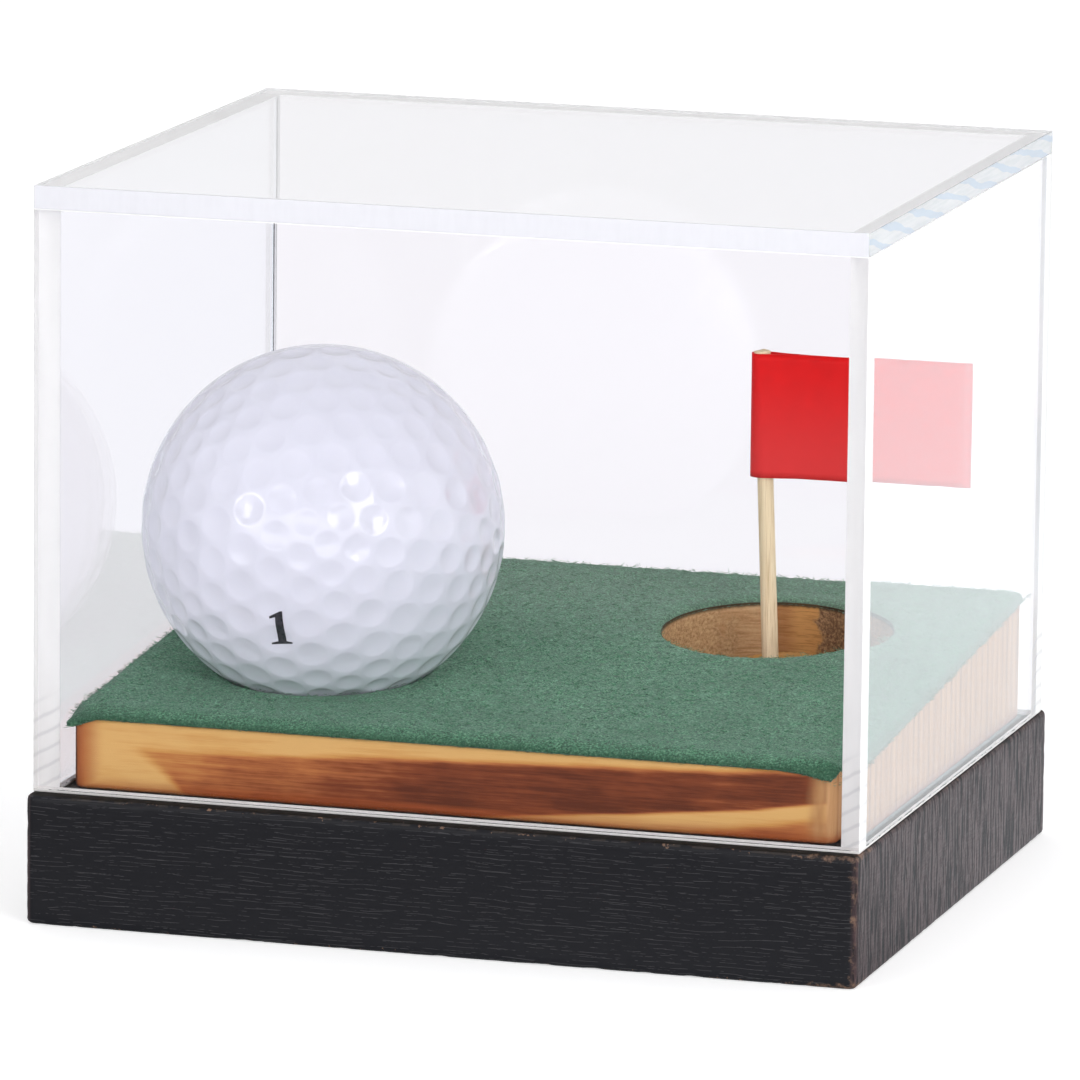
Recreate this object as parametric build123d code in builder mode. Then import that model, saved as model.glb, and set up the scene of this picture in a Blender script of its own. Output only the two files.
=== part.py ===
from build123d import *

import math
import os

# Golf ball display case: a clear box that lifts off a black plinth, over a sloping
# block of scorched pine with a felt green, a golf ball in its seat and a cup with a flag.
#
# Millimetres. +Z up, +X to the right along the long side, the front faces -Y.
# The origin is the middle of the plinth's underside, which stands on the table.

# ---- plinth ----
plinth_width = 100.0
plinth_depth = 88.0
plinth_height = 15.4
plinth_corner_round = 1.0
plinth_edge_round = 0.6

# ---- clear cover: five glued sheets, open below, standing on the plinth ----
side_ledge = 0.25
front_ledge = 2.0
cover_height = 71.2
sheet = 2.7

# ---- sloping block inside the cover ----
wedge_side_clearance = 1.05
wedge_end_clearance = 1.3
wedge_front_height = 8.4
wedge_back_height = 14.6
wedge_corner_round = 1.5

# ---- felt glued on the slope ----
felt_thickness = 1.3
felt_overhang = 0.4

# ---- golf ball and its seat ----
ball_diameter = 42.67
ball_skin = 1.6
ball_core_clearance = 0.05
ball_sink = 4.4
ball_wall_gap = 2.8
seat_from_front = 25.5
seat_clearance = 0.1
seat_floor_gap = 1.2
felt_ball_clearance = 0.3

# ---- cup that the flag stands in ----
cup_diameter = 25.4
cup_from_right = 24.05
cup_from_back = 24.3
cup_floor = 3.2

# ---- stick ----
stick_diameter = 2.0
stick_lean = 2.4
stick_off_centre = 0.4
stick_floor = 1.2
stick_hole_clearance = 0.04
stick_above_flag = 0.3

# ---- folded paper flag ----
paper = 0.2
flag_width = 24.4
flag_height = 14.9
flag_over_green = 17.9
flag_sleeve_clearance = 0.03

# ---- sizes that follow ----
cover_width = plinth_width - 2 * side_ledge
cover_depth = plinth_depth - 2 * front_ledge
wall_height = cover_height - sheet
inside_width = cover_width - 2 * sheet
inside_depth = cover_depth - 2 * sheet
wedge_width = inside_width - 2 * wedge_side_clearance
wedge_depth = inside_depth - 2 * wedge_end_clearance
ball_radius = ball_diameter / 2
stick_radius = stick_diameter / 2
seat_x = ball_wall_gap + ball_radius - inside_width / 2
seat_y = seat_from_front - inside_depth / 2
cup_x = inside_width / 2 - cup_from_right
cup_y = inside_depth / 2 - cup_from_back

# The slope rises towards the back. slope_plane is the block's top face: its X is the
# case's X, its Y runs up the slope and its Z stands square to the slope.
slope = math.atan2(wedge_back_height - wedge_front_height, wedge_depth)
slope_middle = plinth_height + (wedge_front_height + wedge_back_height) / 2
slope_plane = Plane(
    origin=(0, 0, slope_middle),
    x_dir=(1, 0, 0),
    z_dir=(0, -math.sin(slope), math.cos(slope)),
)
slope_length = wedge_depth / math.cos(slope)
seat_along = seat_y / math.cos(slope)
cup_along = cup_y / math.cos(slope)

# The ball dips below the felt by ball_sink and rests in the rim of a bored seat.
ball_over_felt = ball_radius - ball_sink
ball_over_wood = ball_over_felt + felt_thickness
seat_radius = math.sqrt((ball_radius + seat_clearance) ** 2 - ball_over_wood ** 2)
seat_depth = ball_radius - ball_over_wood + seat_floor_gap
felt_seat_radius = math.sqrt((ball_radius + felt_ball_clearance) ** 2 - ball_over_felt ** 2)
ball_centre = slope_plane.from_local_coords(Vector(seat_x, seat_along, ball_over_wood))

# The cup is bored square to the slope and leaves a floor of wood under it.
wood_at_cup = slope_middle + cup_y * math.tan(slope)
cup_depth = (wood_at_cup - plinth_height - cup_floor) / math.cos(slope)

# The stick stands in a small hole in the cup's floor and leans to the left.
lean = math.radians(stick_lean)
stick_hole_depth = cup_floor - stick_floor
stick_foot = slope_plane.from_local_coords(
    Vector(cup_x + stick_off_centre, cup_along, -cup_depth - stick_hole_depth)
)
stick_plane = Plane(
    origin=stick_foot,
    x_dir=(math.cos(lean), 0, math.sin(lean)),
    z_dir=(-math.sin(lean), 0, math.cos(lean)),
)
flag_bottom = wood_at_cup + felt_thickness / math.cos(slope) + flag_over_green
flag_top = flag_bottom + flag_height
stick_length = (flag_top + stick_above_flag - stick_foot.Z) / math.cos(lean)


# ---- plinth: a plain board with softened edges ----
with BuildPart() as plinth:
    with BuildSketch(Plane.XY):
        RectangleRounded(plinth_width, plinth_depth, plinth_corner_round)
    extrude(amount=plinth_height)
    fillet(plinth.faces().sort_by(Axis.Z)[-1].edges(), plinth_edge_round)
    fillet(plinth.faces().sort_by(Axis.Z)[0].edges(), plinth_edge_round)


# ---- sloping block, bored for the ball, the cup and the stick ----
with BuildPart() as wedge_block:
    with BuildSketch(Plane.YZ):
        with BuildLine():
            Polyline(
                (-wedge_depth / 2, plinth_height),
                (wedge_depth / 2, plinth_height),
                (wedge_depth / 2, plinth_height + wedge_back_height),
                (-wedge_depth / 2, plinth_height + wedge_front_height),
                close=True,
            )
        make_face()
    extrude(amount=wedge_width / 2, both=True)
    fillet(wedge_block.edges().filter_by(Axis.Z), wedge_corner_round)
    with BuildSketch(slope_plane):
        with Locations((seat_x, seat_along)):
            Circle(seat_radius)
    extrude(amount=-seat_depth, mode=Mode.SUBTRACT)
    with BuildSketch(slope_plane):
        with Locations((cup_x, cup_along)):
            Circle(cup_diameter / 2)
    extrude(amount=-cup_depth, mode=Mode.SUBTRACT)
    with BuildSketch(stick_plane):
        Circle(stick_radius + stick_hole_clearance)
    extrude(amount=stick_hole_depth + stick_radius, mode=Mode.SUBTRACT)


# ---- felt sheet on the slope, open over the cup and round the ball ----
with BuildPart() as felt_turf:
    with BuildSketch(slope_plane):
        RectangleRounded(
            wedge_width + 2 * felt_overhang,
            slope_length + 2 * felt_overhang,
            wedge_corner_round + felt_overhang,
        )
        with Locations((seat_x, seat_along)):
            Circle(felt_seat_radius, mode=Mode.SUBTRACT)
        with Locations((cup_x, cup_along)):
            Circle(cup_diameter / 2, mode=Mode.SUBTRACT)
    extrude(amount=felt_thickness)


# ---- golf ball: a moulded skin over a solid core ----
with BuildPart() as golf_ball_skin:
    with Locations(ball_centre):
        Sphere(ball_radius)
        Sphere(ball_radius - ball_skin, mode=Mode.SUBTRACT)

with BuildPart() as golf_ball_core:
    with Locations(ball_centre):
        Sphere(ball_radius - ball_skin - ball_core_clearance)


# ---- bamboo stick ----
with BuildPart() as flag_stick:
    with BuildSketch(stick_plane):
        Circle(stick_radius)
    extrude(amount=stick_length)


# ---- flag: paper folded round the stick, its two leaves glued together ----
sleeve_inner = stick_radius + flag_sleeve_clearance
sleeve_outer = sleeve_inner + paper
sleeve_start = (flag_bottom - stick_foot.Z) / math.cos(lean) - flag_width * math.sin(lean)
sleeve_reach = flag_height + 2 * flag_width * math.sin(lean) + 2 * sleeve_outer
stick_x_at_flag = stick_foot.X - math.tan(lean) * (flag_bottom + flag_height / 2 - stick_foot.Z)
flag_left = stick_x_at_flag - sleeve_outer / math.cos(lean)
flag_right = flag_left + flag_width

with BuildPart() as flag:
    with BuildSketch(stick_plane.offset(sleeve_start)):
        Circle(sleeve_outer)
        Rectangle(2 * flag_width, 2 * paper, align=(Align.MIN, Align.CENTER))
        Circle(sleeve_inner, mode=Mode.SUBTRACT)
    extrude(amount=sleeve_reach)
    with BuildSketch(Plane.XY.offset(flag_bottom)):
        with Locations((flag_right, stick_foot.Y)):
            Rectangle(2 * flag_width, 4 * sleeve_outer, align=(Align.MAX, Align.CENTER))
    extrude(amount=flag_height, mode=Mode.INTERSECT)


# ---- clear cover: the top lies over the walls, the sides stand between front and back ----
front_wall_y = (cover_depth - sheet) / 2
side_wall_x = (cover_width - sheet) / 2


def upright_sheet(name, middle, size):
    """Make one wall of the cover: a sheet standing on the plinth."""
    with BuildPart() as wall:
        with BuildSketch(Plane.XY.offset(plinth_height)):
            with Locations(middle):
                Rectangle(*size)
        extrude(amount=wall_height)
    wall.part.label = name
    return wall


cover_front = upright_sheet("cover_front", (0, -front_wall_y), (cover_width, sheet))
cover_back = upright_sheet("cover_back", (0, front_wall_y), (cover_width, sheet))
cover_left = upright_sheet("cover_left", (-side_wall_x, 0), (sheet, inside_depth))
cover_right = upright_sheet("cover_right", (side_wall_x, 0), (sheet, inside_depth))

with BuildPart() as cover_top:
    with BuildSketch(Plane.XY.offset(plinth_height + wall_height)):
        Rectangle(cover_width, cover_depth)
    extrude(amount=sheet)


# ---- labels and files, one solid to a file ----
plinth.part.label = "plinth"
wedge_block.part.label = "wedge_block"
felt_turf.part.label = "felt_turf"
golf_ball_skin.part.label = "golf_ball_skin"
golf_ball_core.part.label = "golf_ball_core"
flag_stick.part.label = "flag_stick"
flag.part.label = "flag"
cover_top.part.label = "cover_top"

pieces = [
    plinth,
    wedge_block,
    felt_turf,
    golf_ball_skin,
    golf_ball_core,
    flag_stick,
    flag,
    cover_top,
    cover_front,
    cover_back,
    cover_left,
    cover_right,
]

os.makedirs("parts", exist_ok=True)
for piece in pieces:
    export_step(piece.part, f"parts/{piece.part.label}.step")
    print(piece.part.label, round(piece.part.volume, 1), piece.part.bounding_box())
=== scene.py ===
"""Golf ball display case: its looks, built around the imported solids.

Metres, +Z up, +X to the right along the long side, the front faces -Y.
"""

import math
import random

import bmesh
import bpy
from mathutils import Matrix, Vector, noise
from mathutils.bvhtree import BVHTree
from mathutils.kdtree import KDTree


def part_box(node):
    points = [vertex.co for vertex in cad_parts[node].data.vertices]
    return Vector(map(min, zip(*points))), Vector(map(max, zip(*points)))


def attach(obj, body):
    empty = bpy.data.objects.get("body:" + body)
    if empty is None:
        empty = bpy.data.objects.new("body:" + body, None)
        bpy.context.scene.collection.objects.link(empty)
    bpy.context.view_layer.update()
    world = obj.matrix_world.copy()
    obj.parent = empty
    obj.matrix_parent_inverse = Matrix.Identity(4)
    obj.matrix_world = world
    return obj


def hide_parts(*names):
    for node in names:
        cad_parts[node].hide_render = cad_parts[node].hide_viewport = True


bl_info = {
    "name": "Golf ball display case",
    "version": (1, 0, 0),
    "blender": (4, 5, 0),
    "location": "3D View > Sidebar > Display case",
    "description": "Builds the looks of a golf ball display case around its packed solids",
    "category": "Object",
}

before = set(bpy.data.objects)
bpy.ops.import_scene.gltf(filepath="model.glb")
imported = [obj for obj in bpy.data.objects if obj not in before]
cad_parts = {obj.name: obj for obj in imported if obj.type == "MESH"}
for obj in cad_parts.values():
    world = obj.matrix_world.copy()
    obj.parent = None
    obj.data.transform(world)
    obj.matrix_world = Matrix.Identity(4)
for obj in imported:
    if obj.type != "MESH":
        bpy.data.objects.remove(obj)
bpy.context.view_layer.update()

MM = 0.001

plinth_low, plinth_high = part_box("plinth")
block_low, block_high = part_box("wedge_block")
ball_low, ball_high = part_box("golf_ball_skin")
stick_low, stick_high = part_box("flag_stick")
flag_low, flag_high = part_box("flag")
sheet_low, sheet_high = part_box("cover_front")

ball_radius = (ball_high.x - ball_low.x) / 2
ball_centre = (ball_low + ball_high) / 2
stick_radius = (stick_high.y - stick_low.y) / 2


# ---- sizes and colours that a user would change ----


class CaseSizes(bpy.types.PropertyGroup):
    """Sizes of the finished pieces that the frame's boxes don't give."""

    corner_round: bpy.props.FloatProperty(
        name="Plinth corner round",
        description="Radius of the board's four upright corners",
        default=1.0 * MM,
        unit="LENGTH",
        precision=5,
    )
    edge_round: bpy.props.FloatProperty(
        name="Plinth edge round",
        description="Radius of the board's top and bottom edges",
        default=0.6 * MM,
        unit="LENGTH",
        precision=5,
    )
    block_front: bpy.props.FloatProperty(
        name="Block front height",
        description="Height of the sloping block at its front face",
        default=8.4 * MM,
        unit="LENGTH",
        precision=5,
    )
    block_round: bpy.props.FloatProperty(
        name="Block corner round",
        description="Radius of the block's upright corners",
        default=1.5 * MM,
        unit="LENGTH",
        precision=5,
    )
    felt_thickness: bpy.props.FloatProperty(
        name="Felt thickness",
        description="Thickness of the felt sheet",
        default=1.3 * MM,
        unit="LENGTH",
        precision=5,
    )
    felt_overhang: bpy.props.FloatProperty(
        name="Felt overhang",
        description="How far the felt stands out past the block",
        default=0.4 * MM,
        unit="LENGTH",
        precision=5,
    )
    seat_diameter: bpy.props.FloatProperty(
        name="Seat diameter",
        description="Bore that the ball rests in",
        default=22.4 * MM,
        unit="LENGTH",
        precision=5,
    )
    felt_seat_diameter: bpy.props.FloatProperty(
        name="Felt seat diameter",
        description="Opening in the felt round the ball, on its underside",
        default=22.8 * MM,
        unit="LENGTH",
        precision=5,
    )
    cup_diameter: bpy.props.FloatProperty(
        name="Cup diameter",
        description="Bore that the flag stands in",
        default=25.4 * MM,
        unit="LENGTH",
        precision=5,
    )
    cup_x: bpy.props.FloatProperty(
        name="Cup to the right",
        description="Cup's middle, to the right of the case's middle",
        default=23.0 * MM,
        unit="LENGTH",
        precision=5,
    )
    cup_y: bpy.props.FloatProperty(
        name="Cup to the back",
        description="Cup's middle, behind the case's middle",
        default=15.0 * MM,
        unit="LENGTH",
        precision=5,
    )
    cup_floor: bpy.props.FloatProperty(
        name="Cup floor",
        description="Wood left under the cup",
        default=3.2 * MM,
        unit="LENGTH",
        precision=5,
    )
    dimple_depth: bpy.props.FloatProperty(
        name="Dimple depth",
        description="Depth of a dimple at its middle",
        default=0.25 * MM,
        unit="LENGTH",
        precision=5,
    )
    paper: bpy.props.FloatProperty(
        name="Paper thickness",
        description="Thickness of one leaf of the flag",
        default=0.2 * MM,
        unit="LENGTH",
        precision=5,
    )
    sheet_edge: bpy.props.FloatProperty(
        name="Sheet edge",
        description="Rounding of the clear sheets' polished edges",
        default=0.11 * MM,
        unit="LENGTH",
        precision=5,
    )
    foot_chamfer: bpy.props.FloatProperty(
        name="Foot chamfer",
        description="Height of the sawn chamfer on the walls' lower edges",
        default=0.32 * MM,
        unit="LENGTH",
        precision=5,
    )


class CaseColours(bpy.types.PropertyGroup):
    """Main colours of the finishes."""

    board: bpy.props.FloatVectorProperty(
        name="Board", description="Black board", subtype="COLOR", default=(0.0085, 0.0085, 0.0115)
    )
    bare_wood: bpy.props.FloatVectorProperty(
        name="Bare wood", description="Wood under the black at worn edges", subtype="COLOR",
        default=(0.19, 0.115, 0.08),
    )
    pine: bpy.props.FloatVectorProperty(
        name="Pine", description="Pale golden wood", subtype="COLOR", default=(0.72, 0.43, 0.153)
    )
    scorch: bpy.props.FloatVectorProperty(
        name="Scorch", description="Burnt bands in the wood", subtype="COLOR",
        default=(0.19, 0.046, 0.017),
    )
    felt: bpy.props.FloatVectorProperty(
        name="Felt", description="Green felt", subtype="COLOR", default=(0.066, 0.210, 0.113)
    )
    ball: bpy.props.FloatVectorProperty(
        name="Ball", description="Ball's white skin", subtype="COLOR", default=(0.8, 0.81, 0.9)
    )
    ink: bpy.props.FloatVectorProperty(
        name="Ink", description="Printed play number", subtype="COLOR", default=(0.02, 0.02, 0.024)
    )
    bamboo: bpy.props.FloatVectorProperty(
        name="Bamboo", description="Flag's stick", subtype="COLOR", default=(0.86, 0.69, 0.44)
    )
    flag: bpy.props.FloatVectorProperty(
        name="Flag", description="Red paper", subtype="COLOR", default=(0.74, 0.004, 0.005)
    )


def sizes():
    """The sizes as set in this scene."""
    return bpy.context.scene.case_sizes


def colours():
    """The colours as set in this scene."""
    return bpy.context.scene.case_colours


# ---- the slope ----


def slope_frame():
    """Matrix of the block's top face: X to the right, Y up the slope, Z square to it."""
    rise = block_high.z - block_low.z - sizes().block_front
    run = block_high.y - block_low.y
    middle = block_low.z + sizes().block_front + rise / 2
    turn = Matrix.Rotation(math.atan2(rise, run), 4, "X")
    return Matrix.Translation((0, 0, middle)) @ turn


def on_slope(point):
    """A point of the frame as (x, along the slope) on the block's top face."""
    local = slope_frame().inverted() @ Vector(point)
    return Vector((local.x, local.y, 0))


# ---- mesh helpers ----


def edges_along(bm, axis, shortest=0.0):
    """Edges parallel to an axis (0, 1 or 2) and longer than shortest."""
    found = []
    for edge in bm.edges:
        way = edge.verts[1].co - edge.verts[0].co
        if way.length > shortest and abs(way[axis]) > 0.999 * way.length:
            found.append(edge)
    return found


def round_edges(bm, edges, radius, segments):
    """Bevels edges to a round of that radius."""
    bmesh.ops.bevel(
        bm,
        geom=edges,
        offset=radius,
        offset_type="OFFSET",
        affect="EDGES",
        segments=segments,
        profile=0.5,
        material=-1,
    )


def block_between(low, high):
    """A bmesh box between two corners."""
    bm = bmesh.new()
    bmesh.ops.create_cube(bm, size=1)
    bmesh.ops.scale(bm, vec=high - low, verts=bm.verts)
    bmesh.ops.translate(bm, vec=(low + high) / 2, verts=bm.verts)
    return bm


def rod(bm, radius, low, high, matrix, segments=64):
    """Adds a closed cylinder from low to high along the matrix's Z."""
    bmesh.ops.create_cone(
        bm,
        cap_ends=True,
        segments=segments,
        radius1=radius,
        radius2=radius,
        depth=high - low,
        matrix=matrix @ Matrix.Translation((0, 0, (low + high) / 2)),
    )


def shade_smooth(bm, flat_over):
    """Smooth shading with sharp edges kept. Faces over an area in square metres stay flat."""
    for edge in bm.edges:
        edge.smooth = edge.calc_face_angle(0.0) < math.radians(40)
    for face in bm.faces:
        face.smooth = face.calc_area() < flat_over


def object_from(name, bm, materials=(), flat_over=1e-4):
    """An object made from a bmesh."""
    shade_smooth(bm, flat_over)
    mesh = bpy.data.meshes.new(name)
    bm.to_mesh(mesh)
    bm.free()
    for material in materials:
        mesh.materials.append(material)
    made = bpy.data.objects.new(name, mesh)
    bpy.context.scene.collection.objects.link(made)
    return made


def applied(obj):
    """Replaces an object's mesh with the mesh its modifiers give."""
    graph = bpy.context.evaluated_depsgraph_get()
    mesh = bpy.data.meshes.new_from_object(obj.evaluated_get(graph))
    obj.modifiers.clear()
    old, obj.data = obj.data, mesh
    mesh.name = obj.name
    bpy.data.meshes.remove(old)
    return obj


def cut(obj, cutters):
    """Cuts a bmesh of closed rods out of an object."""
    tool = object_from(obj.name + "_cutter", cutters)
    bore = obj.modifiers.new("bore", "BOOLEAN")
    bore.operation = "DIFFERENCE"
    bore.solver = "EXACT"
    bore.object = tool
    bpy.context.view_layer.update()
    applied(obj)
    mesh = tool.data
    bpy.data.objects.remove(tool)
    bpy.data.meshes.remove(mesh)


def settle(obj, body, nodes=()):
    """Lets a finished piece ride on a body and in place of its nodes."""
    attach(obj, body)
    if nodes:
        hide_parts(*nodes)
    return obj


# ---- finishes ----


class Finish:
    """One procedural material, with short calls that add its nodes."""

    def __init__(self, name):
        self.material = bpy.data.materials.new(name)
        self.material.use_nodes = True
        self.tree = self.material.node_tree
        self.tree.nodes.clear()
        self.output = self.node("OutputMaterial")
        self.surface = self.node("BsdfPrincipled")
        self.join(self.surface.outputs[0], self.output.inputs["Surface"])
        self.object_place = self.node("TexCoord").outputs["Object"]

    def node(self, kind, **settings):
        """Adds a node of a kind and sets its own settings."""
        made = self.tree.nodes.new("ShaderNode" + kind)
        for name, value in settings.items():
            setattr(made, name, value)
        return made

    def join(self, value, socket):
        """Links a socket's output, or sets a constant."""
        if isinstance(value, bpy.types.NodeSocket):
            self.tree.links.new(value, socket)
        else:
            if socket.type == "RGBA" and len(value) == 3:
                value = (*value, 1)
            socket.default_value = value

    def set(self, **values):
        """Sets sockets of the main shader, with underscores for the spaces in their names."""
        for name, value in values.items():
            self.join(value, self.surface.inputs[name.replace("_", " ")])

    def place(self, stretch=(1, 1, 1), turn=(0, 0, 0), shift=(0, 0, 0), vector=None):
        """Object coordinates in millimetres, stretched, turned and shifted."""
        mapping = self.node("Mapping")
        self.join(vector or self.object_place, mapping.inputs["Vector"])
        self.join([1000 * s for s in stretch], mapping.inputs["Scale"])
        self.join(turn, mapping.inputs["Rotation"])
        self.join(shift, mapping.inputs["Location"])
        return mapping.outputs[0]

    def noise(self, place, scale, detail=2.0, roughness=0.5, distortion=0.0):
        """Noise from 0 to 1, centred on a half."""
        made = self.node("TexNoise")
        self.join(place, made.inputs["Vector"])
        self.join(scale, made.inputs["Scale"])
        self.join(detail, made.inputs["Detail"])
        self.join(roughness, made.inputs["Roughness"])
        self.join(distortion, made.inputs["Distortion"])
        return made.outputs[0]

    def cells(self, place, scale, feature="F1"):
        """Distance to the nearest random point."""
        made = self.node("TexVoronoi", feature=feature)
        self.join(place, made.inputs["Vector"])
        self.join(scale, made.inputs["Scale"])
        return made.outputs["Distance"]

    def sum(self, a, b):
        """a + b"""
        return self.math("ADD", a, b)

    def times(self, a, b):
        """a times b"""
        return self.math("MULTIPLY", a, b)

    def math(self, operation, a, b=0.0):
        """One Math node."""
        made = self.node("Math", operation=operation)
        self.join(a, made.inputs[0])
        self.join(b, made.inputs[1])
        return made.outputs[0]

    def ease(self, value, start, end, low=0.0, high=1.0):
        """A smooth step from low to high while the value goes from start to end."""
        made = self.node("MapRange", interpolation_type="SMOOTHSTEP")
        self.join(value, made.inputs["Value"])
        self.join(start, made.inputs["From Min"])
        self.join(end, made.inputs["From Max"])
        self.join(low, made.inputs["To Min"])
        self.join(high, made.inputs["To Max"])
        return made.outputs[0]

    def mix(self, share, a, b, mode="MIX"):
        """Colour a with a share of colour b laid over it."""
        made = self.node("Mix", data_type="RGBA", blend_type=mode)
        self.join(share, made.inputs[0])
        self.join(a, made.inputs[6])
        self.join(b, made.inputs[7])
        return made.outputs[2]

    def ramp(self, value, *stops):
        """Colours at their places along 0 to 1."""
        made = self.node("ValToRGB")
        self.join(value, made.inputs[0])
        ends = made.color_ramp.elements
        while len(ends) < len(stops):
            ends.new(0.5)
        for end, (at, colour) in zip(ends, stops):
            end.position = at
            end.color = (*colour, 1)
        return made.outputs[0]

    def bump(self, height, depth, strength=1.0, under=None):
        """Normals of a relief of that depth in millimetres."""
        made = self.node("Bump")
        self.join(height, made.inputs["Height"])
        self.join(depth * MM, made.inputs["Distance"])
        self.join(strength, made.inputs["Strength"])
        if under:
            self.join(under, made.inputs["Normal"])
        return made.outputs[0]

    def parts(self, vector):
        """X, Y and Z of a vector."""
        made = self.node("SeparateXYZ")
        self.join(vector, made.inputs[0])
        return made.outputs

    def clear_to_lamps(self, tint):
        """Lets the lamps shine through to what the piece covers, tinted."""
        through = self.node("BsdfTransparent")
        self.join(tint, through.inputs[0])
        mixer = self.node("MixShader")
        self.join(self.node("LightPath").outputs["Is Shadow Ray"], mixer.inputs[0])
        self.join(self.surface.outputs[0], mixer.inputs[1])
        self.join(through.outputs[0], mixer.inputs[2])
        self.join(mixer.outputs[0], self.output.inputs["Surface"])


def shade(colour, factor):
    """A colour made darker or lighter."""
    return tuple(c * factor for c in colour)


def edge_distance(finish, parts, low, high, corner=0.0, depth_share=1.0):
    """Millimetres from the nearest edge of a box, whose upright corners are rounded off."""
    nearest = []
    for value, start, end in zip(parts, low, high):
        middle, half = (start + end) / 2 / MM, (end - start) / 2 / MM
        away = finish.math("ABSOLUTE", finish.sum(value, -middle))
        nearest.append(finish.math("SUBTRACT", half, away))
    x, y, z = nearest
    around = finish.sum(x, finish.times(y, depth_share))
    pairs = [finish.math("SUBTRACT", around, corner), finish.sum(y, z), finish.sum(x, z)]
    return finish.math("MINIMUM", finish.math("MINIMUM", pairs[0], pairs[1]), pairs[2])


def board_finish():
    """Black board, embossed with short strokes of grain and worn brown along its edges; its ends are painted
    lighter, partly as a painted sheen, its top dark brown as painted shade, and its top front edge carries a
    painted highlight.
    """
    finish = Finish("black_board")
    place = finish.place()
    x, y, z = finish.parts(place)
    fine = finish.noise(finish.place(stretch=(0.4, 0.4, 9.0)), 1.0, 3.0, 0.6)
    upright = finish.noise(finish.place(stretch=(1.3, 1.3, 0.14)), 1.0, 4.0, 0.62, 0.5)
    on_side = finish.ease(finish.math("ABSOLUTE", x), 49.2, 49.8)
    level, plumb = (0.1, 0.1, 0.25), (0.6, 0.6, 0.1)
    strokes = finish.math(
        "MAXIMUM",
        grain_lines(finish, z, level, 0.53, 0.085, 0.0),
        grain_lines(finish, z, level, 0.83, 0.06, 40.0),
    )
    side_dark = grain_lines(finish, y, plumb, 1.25, 0.14, 20.0)
    side_light = grain_lines(finish, y, plumb, 1.05, 0.07, 60.0)
    side_mask = finish.times(
        finish.math("MAXIMUM", finish.ease(upright, 0.46, 0.60), side_dark), on_side
    )
    front_mask = finish.times(strokes, finish.math("SUBTRACT", 1.0, on_side))
    # The ends are painted lighter grey-brown than the front, with paler streaks: partly their upright grain,
    # partly a painted sheen of the grazing light on them.
    grey = shade(colours().board, 7.0)
    base = finish.mix(front_mask, colours().board, (0.052, 0.051, 0.056))
    side = finish.mix(
        side_light, (grey[0] * 0.97, grey[1] * 0.58, grey[2] * 0.47), (0.155, 0.104, 0.104)
    )
    base = finish.mix(on_side, base, side)
    base = finish.mix(side_mask, base, shade(colours().board, 0.8))
    edge = edge_distance(finish, (x, y, z), plinth_low, plinth_high)
    ragged = finish.noise(place, 1.4, 4.0, 0.65)
    near_corner = finish.ease(finish.sum(x, finish.times(y, -1.0)), 84.0, 91.0, 0.14, 0.75)
    worn = finish.ease(
        finish.sum(edge, finish.times(finish.sum(ragged, -0.5), -2.2)), near_corner, 0.05
    )
    # Painted shade: the top face, under the cover's foot, is painted dark brown; it is also made rougher
    # further down.
    on_top = finish.ease(z, plinth_high.z / MM - 0.15, plinth_high.z / MM - 0.05)
    base = finish.mix(on_top, base, (0.010, 0.0075, 0.006))
    base = finish.mix(worn, base, colours().bare_wood)
    # A thin brown-grey line along the top front edge: partly wear, partly a painted highlight on the edge's
    # rounding.
    worn_lip_highlight = finish.sum(finish.times(z, -1.0), y)
    worn_lip_highlight = finish.ease(worn_lip_highlight, *[(plinth_low.y - plinth_high.z) / MM + gap for gap in (0.40, 0.36)])
    worn_lip_highlight = finish.times(worn_lip_highlight, finish.ease(ragged, 0.3, 0.5, 0.35, 0.85))
    base = finish.mix(worn_lip_highlight, base, (0.07, 0.057, 0.048))
    relief = finish.sum(
        finish.times(front_mask, 1.0),
        finish.sum(finish.times(side_mask, -1.0), finish.times(fine, 0.35)),
    )
    rough = finish.ease(finish.sum(fine, finish.times(side_mask, 0.3)), 0.2, 0.9, 0.36, 0.56)
    rough = finish.sum(rough, finish.times(on_top, 0.4))
    finish.set(
        Base_Color=base,
        Roughness=rough,
        Normal=finish.bump(relief, 0.06, 0.8),
        Specular_IOR_Level=0.2,
    )
    return finish.material


def grain_lines(finish, across, stretch, spacing, thin, seed):
    """Thin broken lines of embossed grain, some spacing apart, that wander a little."""
    sway = finish.noise(finish.place(stretch=stretch, shift=(seed, 0, 0)), 1.0, 2.0, 0.6)
    wave = finish.sum(finish.times(across, 1 / spacing), finish.times(sway, 1.5))
    line = finish.ease(finish.math("PINGPONG", wave, 0.5), 0.5 - thin, 0.5 - thin / 3)
    broken = finish.noise(
        finish.place(stretch=[4.0 * step for step in stretch], shift=(0, seed, 0)), 1.0, 3.0, 0.7
    )
    return finish.times(line, finish.ease(broken, 0.49, 0.56))


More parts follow.
